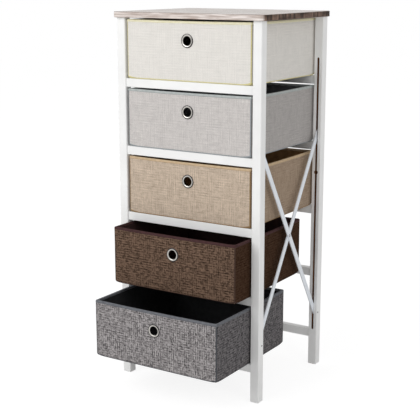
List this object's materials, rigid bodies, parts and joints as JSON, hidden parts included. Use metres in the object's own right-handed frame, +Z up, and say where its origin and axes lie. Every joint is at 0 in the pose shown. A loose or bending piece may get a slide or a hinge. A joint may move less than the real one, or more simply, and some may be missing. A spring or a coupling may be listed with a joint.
{
  "type": "fabric drawer dresser",
  "caption": "Tall open-sided tower dresser: white ladder frames with scissor braces, a wooden top, and fabric bins with finger rings that slide on rails.",
  "frame": {"origin": "on the floor at the middle of the four legs", "axes": "+X to the right seen from the front, +Y to the rear, +Z up"},
  "size_m": [0.458, 0.5176, 1],
  "materials": {
    "top_wood": "satin",
    "white_paint": "satin",
    "raw_wood": "matte",
    "brace_paint": "satin",
    "pin_steel": "satin",
    "eyelet_chrome": "polished",
    "panel_board": "matte",
    "cover_cream": "matte",
    "cover_light_grey": "matte",
    "cover_tan": "matte",
    "cover_brown": "matte",
    "cover_charcoal": "matte",
    "binding_straw": "matte",
    "binding_mist_blue": "matte",
    "binding_ochre": "matte",
    "binding_plum_brown": "matte",
    "binding_slate": "matte",
    "lining_black": "matte",
    "lining_dark_brown": "matte"
  },
  "bodies": {
    "frame": {"top_board": "top_wood", "leg_front_left": "white_paint", "leg_front_right": "white_paint", "leg_rear_left": "white_paint", "leg_rear_right": "white_paint", "front_rail_1": "white_paint", "front_rail_2": "white_paint", "front_rail_3": "white_paint", "front_rail_4": "white_paint", "front_rail_5": "white_paint", "rear_rail_1": "white_paint", "rear_rail_2": "white_paint", "rear_rail_3": "white_paint", "rear_rail_4": "white_paint", "rear_rail_5": "white_paint", "top_pegs": "raw_wood", "brace_right_inner": "brace_paint", "brace_right_outer": "brace_paint", "brace_left_inner": "brace_paint", "brace_left_outer": "brace_paint", "brace_pivot_pins": "pin_steel", "brace_slide_pins": "pin_steel", "brace_rivets": "brace_paint"},
    "drawer_1": {"drawer_1_cover": "cover_cream", "drawer_1_lining": "lining_black", "drawer_1_front_board": "panel_board", "drawer_1_wall_boards": "panel_board", "drawer_1_base_board": "panel_board", "drawer_1_binding": "binding_straw", "drawer_1_eyelet": "eyelet_chrome"},
    "drawer_2": {"drawer_2_cover": "cover_light_grey", "drawer_2_lining": "lining_black", "drawer_2_front_board": "panel_board", "drawer_2_wall_boards": "panel_board", "drawer_2_base_board": "panel_board", "drawer_2_binding": "binding_mist_blue", "drawer_2_eyelet": "eyelet_chrome"},
    "drawer_3": {"drawer_3_cover": "cover_tan", "drawer_3_lining": "lining_dark_brown", "drawer_3_front_board": "panel_board", "drawer_3_wall_boards": "panel_board", "drawer_3_base_board": "panel_board", "drawer_3_binding": "binding_ochre", "drawer_3_eyelet": "eyelet_chrome"},
    "drawer_4": {"drawer_4_cover": "cover_brown", "drawer_4_lining": "lining_dark_brown", "drawer_4_front_board": "panel_board", "drawer_4_wall_boards": "panel_board", "drawer_4_base_board": "panel_board", "drawer_4_binding": "binding_plum_brown", "drawer_4_eyelet": "eyelet_chrome"},
    "drawer_5": {"drawer_5_cover": "cover_charcoal", "drawer_5_lining": "lining_black", "drawer_5_front_board": "panel_board", "drawer_5_wall_boards": "panel_board", "drawer_5_base_board": "panel_board", "drawer_5_binding": "binding_slate", "drawer_5_eyelet": "eyelet_chrome"}
  },
  "joints": [
    {"name": "drawer_1_slide", "type": "slide", "parent": "frame", "child": "drawer_1", "axis": [0, -1, 0], "range_m": [0, 0.25]},
    {"name": "drawer_2_slide", "type": "slide", "parent": "frame", "child": "drawer_2", "axis": [0, -1, 0], "range_m": [0, 0.25]},
    {"name": "drawer_3_slide", "type": "slide", "parent": "frame", "child": "drawer_3", "axis": [0, -1, 0], "range_m": [0, 0.25]},
    {"name": "drawer_4_slide", "type": "slide", "parent": "frame", "child": "drawer_4", "axis": [0, -1, 0], "range_m": [-0.073, 0.177]},
    {"name": "drawer_5_slide", "type": "slide", "parent": "frame", "child": "drawer_5", "axis": [0, -1, 0], "range_m": [-0.16, 0.09]}
  ]
}
